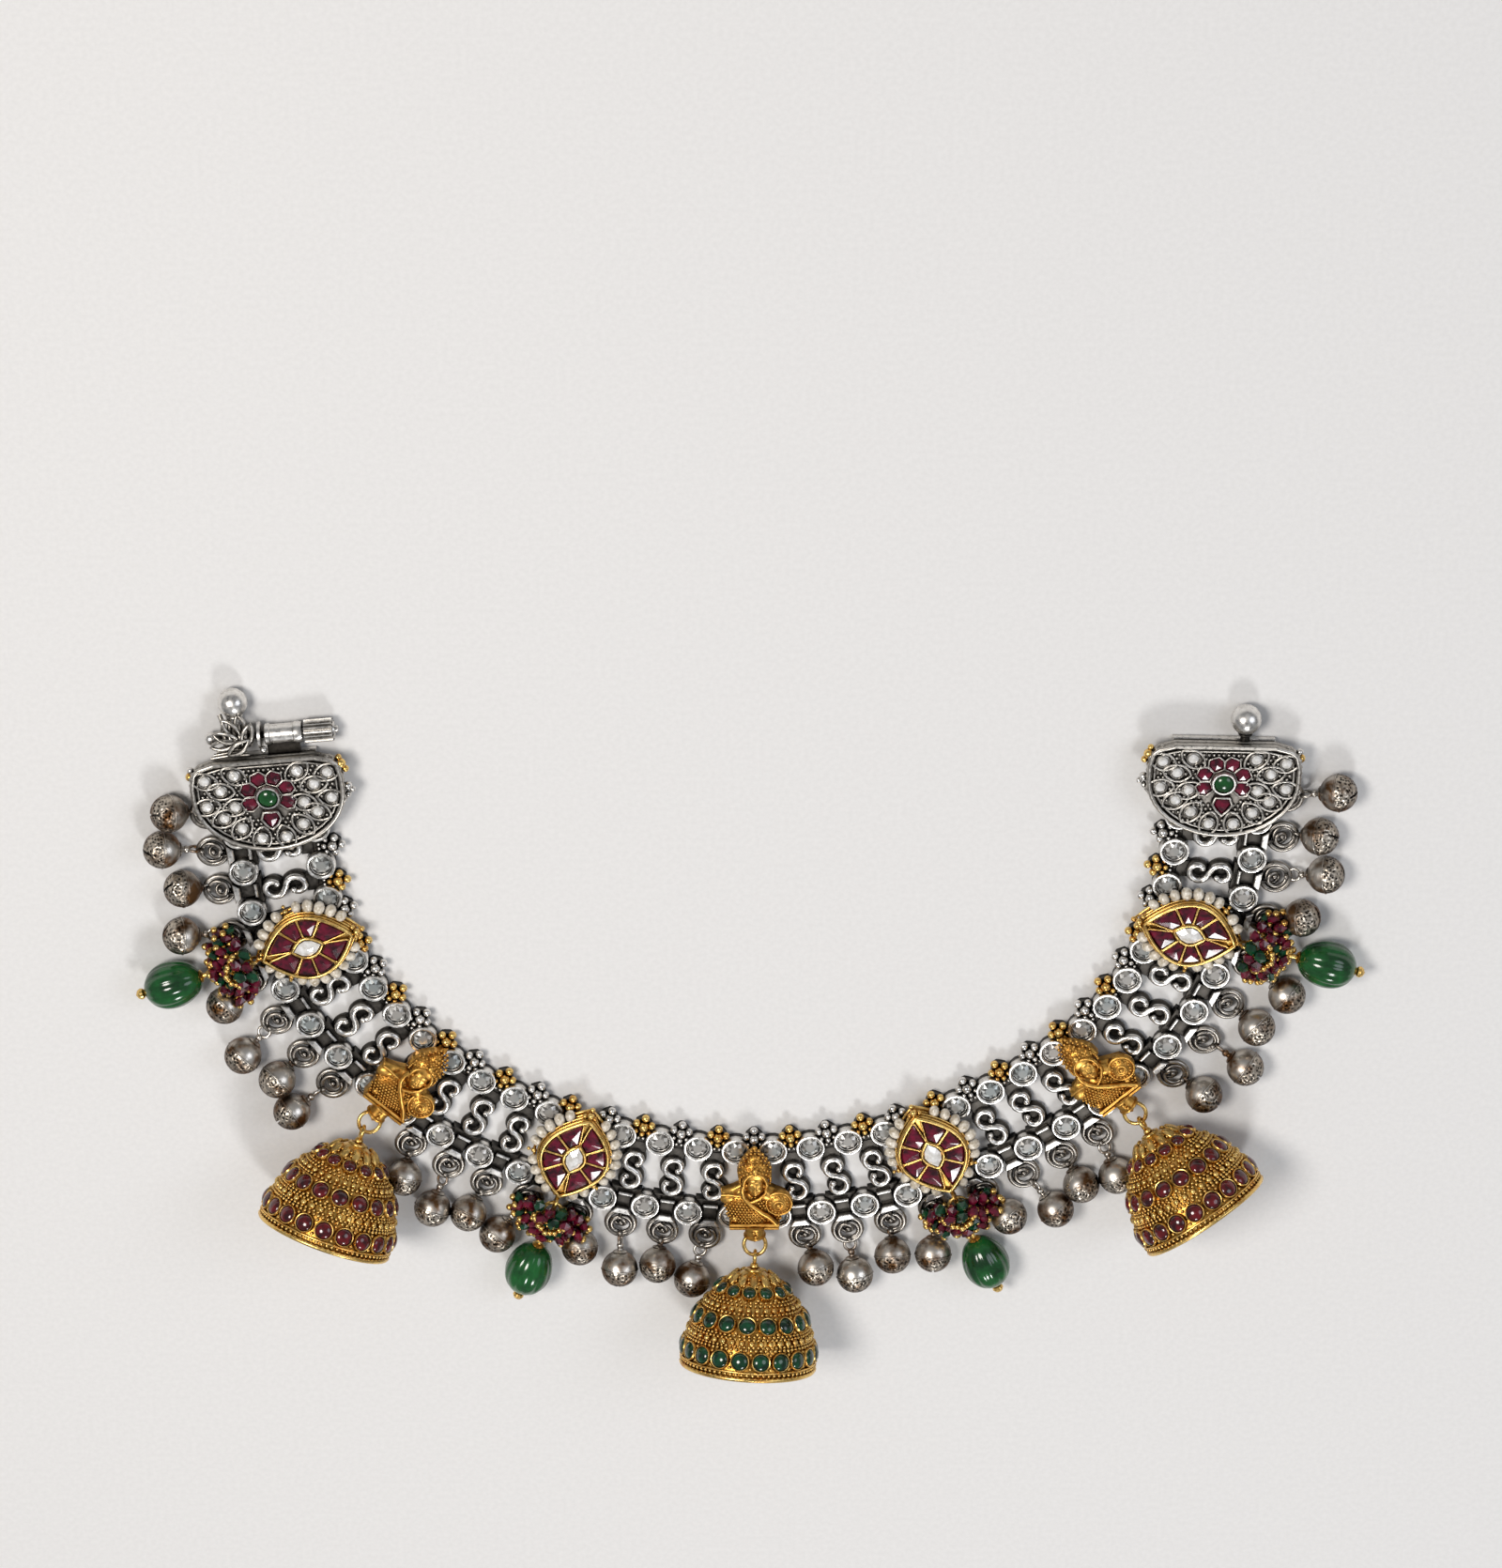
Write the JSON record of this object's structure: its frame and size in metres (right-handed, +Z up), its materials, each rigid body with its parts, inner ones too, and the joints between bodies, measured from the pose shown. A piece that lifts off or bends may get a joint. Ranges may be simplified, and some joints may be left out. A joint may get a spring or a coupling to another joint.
{
  "type": "payal anklet",
  "caption": "Open anklet with a pierced silver band of S scrolls, gold rosettes and busts, hollow bell domes, melon drops, a fringe of round bells and a screw clasp.",
  "frame": {"origin": "middle of the footprint, on the surface that the anklet lies on", "axes": "+Z up from the surface, +X along the widest side from the clasp end to the ball end, +Y from the closed middle of the band towards its two ends"},
  "size_m": [0.2032, 0.1272, 0.0225],
  "materials": {
    "oxidised_silver": "oxidised, worn bright on the raised edges",
    "bright_silver": "polished",
    "gold": "polished, darker in the recesses",
    "ruby": "polished stone",
    "emerald": "polished stone",
    "clear_stone": "faceted stone",
    "pearl": "soft sheen"
  },
  "bodies": {
    "anklet": {"band": "oxidised_silver", "end_plate_left": "bright_silver", "wire_knot": "bright_silver", "end_plate_right": "bright_silver", "navette_1": "gold", "navette_2": "gold", "navette_3": "gold", "navette_4": "gold", "melon_bead_1": "emerald", "melon_bead_2": "emerald", "melon_bead_3": "emerald", "melon_bead_4": "emerald", "bead_cluster_1": "ruby", "bead_cluster_2": "ruby", "bead_cluster_3": "ruby", "bead_cluster_4": "ruby", "figure_1": "gold", "figure_2": "gold", "figure_3": "gold", "jhumka_ring_1": "gold", "jhumka_ring_2": "gold", "jhumka_ring_3": "gold", "jhumka_1": "gold", "jhumka_2": "gold", "jhumka_3": "gold", "ghungroo_01": "oxidised_silver", "ghungroo_02": "oxidised_silver", "ghungroo_03": "oxidised_silver", "ghungroo_04": "oxidised_silver", "ghungroo_05": "oxidised_silver", "ghungroo_06": "oxidised_silver", "ghungroo_07": "oxidised_silver", "ghungroo_08": "oxidised_silver", "ghungroo_09": "oxidised_silver", "ghungroo_10": "oxidised_silver", "ghungroo_11": "oxidised_silver", "ghungroo_12": "oxidised_silver", "ghungroo_13": "oxidised_silver", "ghungroo_14": "oxidised_silver", "ghungroo_15": "oxidised_silver", "ghungroo_16": "oxidised_silver", "ghungroo_17": "oxidised_silver", "ghungroo_18": "oxidised_silver", "ghungroo_19": "oxidised_silver", "ghungroo_20": "oxidised_silver", "ghungroo_21": "oxidised_silver", "ghungroo_22": "oxidised_silver", "ghungroo_23": "oxidised_silver", "ghungroo_24": "oxidised_silver", "ghungroo_25": "oxidised_silver", "ghungroo_26": "oxidised_silver", "ghungroo_27": "oxidised_silver", "ghungroo_28": "oxidised_silver", "ghungroo_29": "oxidised_silver", "ghungroo_30": "oxidised_silver", "ghungroo_31": "oxidised_silver", "ghungroo_32": "oxidised_silver"},
    "screw": {"clasp_screw": "bright_silver"}
  },
  "joints": [
    {"name": "screw_turn", "type": "hinge", "parent": "anklet", "child": "screw", "pos_m": [-0.07213, 0.05599, 0.00241], "axis": [0.9958, 0.0911, 0], "continuous": true}
  ]
}
